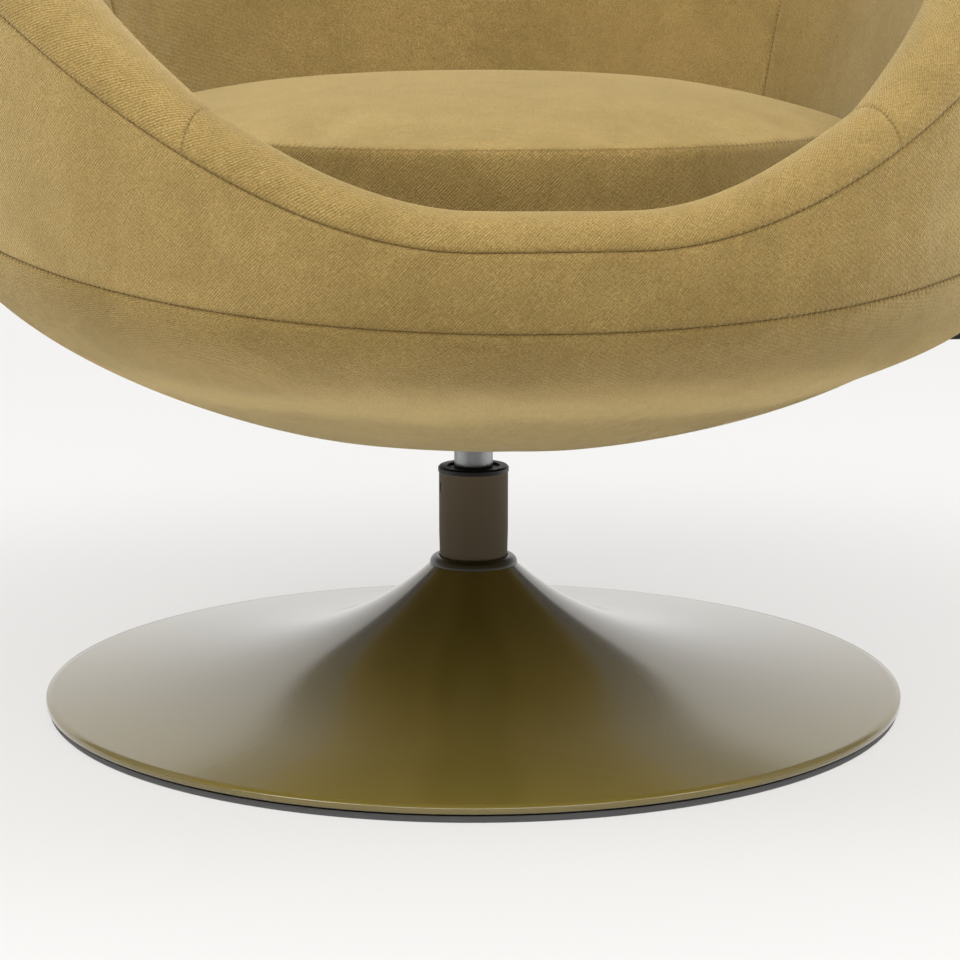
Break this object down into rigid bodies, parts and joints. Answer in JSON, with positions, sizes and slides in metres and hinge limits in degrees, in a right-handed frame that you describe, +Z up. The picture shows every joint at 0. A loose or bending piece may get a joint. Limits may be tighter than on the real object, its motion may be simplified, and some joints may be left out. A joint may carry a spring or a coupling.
{
  "type": "swivel armchair",
  "caption": "Upholstered tub armchair with a bowl-shaped underside on a gas lift column and a flared trumpet base; it swivels and its height adjusts.",
  "frame": {"origin": "on the floor under the column axis, at the middle of the chair's outline", "axes": "+Z up, -Y the way the sitter faces, +X the sitter's left"},
  "size_m": [0.7864, 0.822, 0.765],
  "materials": {
    "trumpet_paint": "satin",
    "column_paint": "satin",
    "black_plastic": "matt",
    "ring_plastic": "matt",
    "raw_steel": "plain",
    "ground_steel": "ground",
    "black_steel": "semi-gloss",
    "zinc_steel": "zinc plated",
    "buffer_rubber": "matt",
    "birch_plywood": "sawn",
    "moulded_shell": "moulded",
    "olive_velvet": "napped twill"
  },
  "bodies": {
    "base": {"base_shell": "trumpet_paint", "floor_ring": "ring_plastic", "ballast_plate": "raw_steel", "ring_screws": "zinc_steel", "taper_hub": "raw_steel", "neck_collar": "trumpet_paint", "column_tube": "column_paint", "column_foot_plate": "raw_steel", "column_bush": "black_plastic", "lower_washer": "zinc_steel", "thrust_bearing": "zinc_steel"},
    "spindle": {"upper_washer": "zinc_steel", "rubber_buffer": "buffer_rubber", "piston_rod": "ground_steel", "retaining_clip": "zinc_steel", "piston": "zinc_steel"},
    "seat": {"gas_cylinder": "ground_steel", "rod_gland": "black_plastic", "valve_body": "zinc_steel", "taper_socket": "black_steel", "mechanism_channel": "black_steel", "mounting_plate": "black_steel", "mounting_bolts": "zinc_steel", "tee_nuts": "zinc_steel", "lever_pivot_pin": "zinc_steel", "seat_board": "birch_plywood", "tub_shell": "moulded_shell", "underside_pad": "olive_velvet", "outer_band": "olive_velvet", "front_pad": "olive_velvet", "left_arm_pad": "olive_velvet", "back_pad": "olive_velvet", "right_arm_pad": "olive_velvet", "seat_cushion": "olive_velvet"},
    "lever": {"lever_rod": "black_steel", "lever_grip": "black_plastic"},
    "valve_pin": {"release_pin": "zinc_steel"}
  },
  "joints": [
    {"name": "swivel", "type": "hinge", "parent": "base", "child": "spindle", "pos_m": [0, 0, 0.02], "axis": [0, 0, 1], "continuous": true},
    {"name": "height", "type": "slide", "parent": "spindle", "child": "seat", "axis": [0, 0, 1], "range_m": [0, 0.07]},
    {"name": "lever_lift", "type": "hinge", "parent": "seat", "child": "lever", "pos_m": [0.045, 0, 0.263], "axis": [0, -1, 0], "range_deg": [0, 3.2]},
    {"name": "valve_press", "type": "slide", "parent": "seat", "child": "valve_pin", "axis": [0, 0, -1], "range_m": [0, 0.0028]}
  ],
  "couplings": [
    {"joint": "valve_press", "follows": "lever_lift", "m_per_rad": 0.0485}
  ]
}
